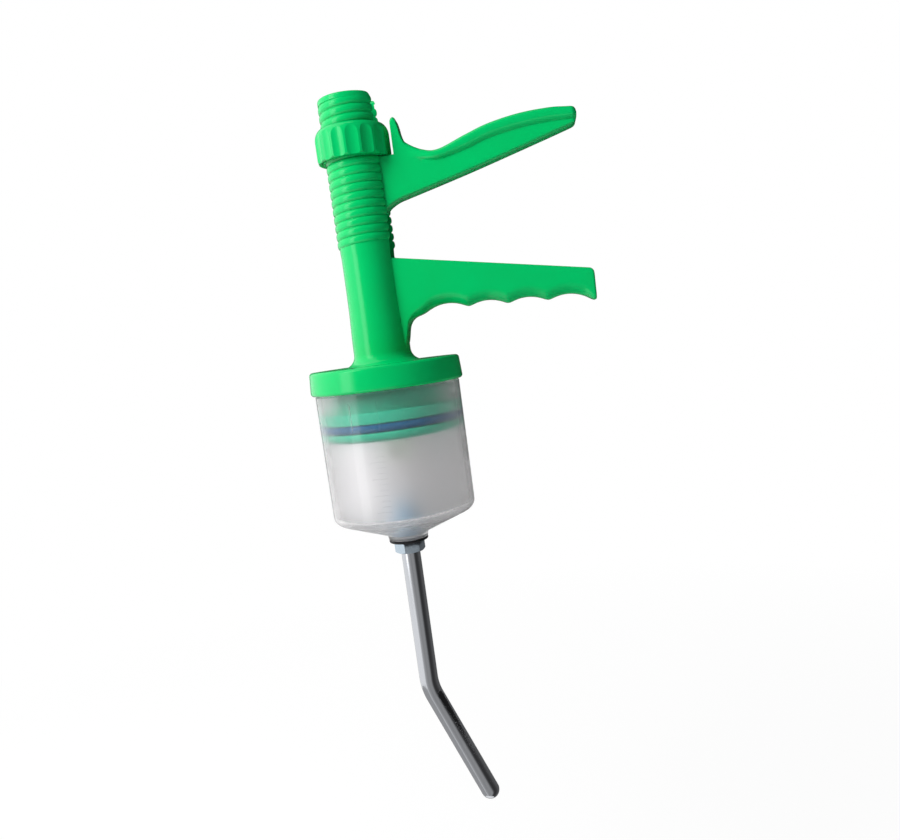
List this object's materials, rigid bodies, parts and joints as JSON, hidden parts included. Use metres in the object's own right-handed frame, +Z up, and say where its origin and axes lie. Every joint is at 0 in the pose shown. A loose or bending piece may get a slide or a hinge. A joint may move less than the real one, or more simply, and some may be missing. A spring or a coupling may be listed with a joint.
{
  "type": "livestock drencher",
  "caption": "Hand dosing pump for drenching animals: clear barrel, threaded handle tube with slotted squeeze lever, finger grip, dose nut and bent steel nozzle.",
  "frame": {"origin": "on the barrel's axis, level with the middle of the fixed grip's root", "axes": "+Z up along the barrel toward the hose end, +X along the handles away from the tube, +Y to the side"},
  "size_m": [0.1487, 0.078, 0.3714],
  "materials": {
    "green_plastic": "moulded, glossy",
    "clear_plastic": "milky, frosted translucent",
    "white_nylon": "moulded, satin",
    "black_rubber": "moulded",
    "navy_rubber": "moulded",
    "piston_plastic": "moulded, satin",
    "blue_plastic": "moulded, satin",
    "steel": "turned",
    "spring_steel": "drawn wire",
    "brass": "turned",
    "chromed_metal": "polished"
  },
  "bodies": {
    "handle": {"handle_body": "green_plastic", "rod_bush": "white_nylon", "barrel": "clear_plastic", "barrel_gasket": "black_rubber", "return_spring": "spring_steel", "outlet_cage": "blue_plastic", "outlet_spring": "spring_steel", "neck_seal": "black_rubber", "nozzle_nut": "chromed_metal", "nozzle": "chromed_metal"},
    "plunger": {"squeeze_lever": "green_plastic", "piston_rod": "steel", "lock_nut": "steel", "hose_spigot": "brass", "spigot_seal": "black_rubber", "rod_seal": "black_rubber", "piston_upper": "piston_plastic", "piston_ring": "navy_rubber", "piston_lower": "piston_plastic", "inlet_cage": "white_nylon", "inlet_spring": "spring_steel"},
    "inlet_valve": {"inlet_poppet": "blue_plastic"},
    "outlet_valve": {"outlet_poppet": "white_nylon"},
    "stop": {"stop_washer": "green_plastic"},
    "nut": {"dose_nut": "green_plastic"}
  },
  "joints": [
    {"name": "squeeze", "type": "slide", "parent": "handle", "child": "plunger", "axis": [0, 0, -1], "range_m": [0, 0.02], "stiffness_N_per_m": 1200, "springref_m": -0.02, "deforming": ["return_spring"]},
    {"name": "inlet_valve_lift", "type": "slide", "parent": "plunger", "child": "inlet_valve", "axis": [0, 0, -1], "range_m": [0, 0.0015], "stiffness_N_per_m": 60, "springref_m": -0.001, "deforming": ["inlet_spring"]},
    {"name": "outlet_valve_lift", "type": "slide", "parent": "handle", "child": "outlet_valve", "axis": [0, 0, -1], "range_m": [0, 0.0015], "stiffness_N_per_m": 60, "springref_m": -0.001, "deforming": ["outlet_spring"]},
    {"name": "stop_slide", "type": "slide", "parent": "handle", "child": "stop", "axis": [0, 0, 1], "range_m": [0, 0.012]},
    {"name": "nut_turn", "type": "hinge", "parent": "stop", "child": "nut", "pos_m": [0, 0, 0.073], "axis": [0, 0, 1], "range_deg": [0, 1080]}
  ],
  "couplings": [
    {"joint": "stop_slide", "follows": "nut_turn", "m_per_rad": 0.00063661}
  ]
}
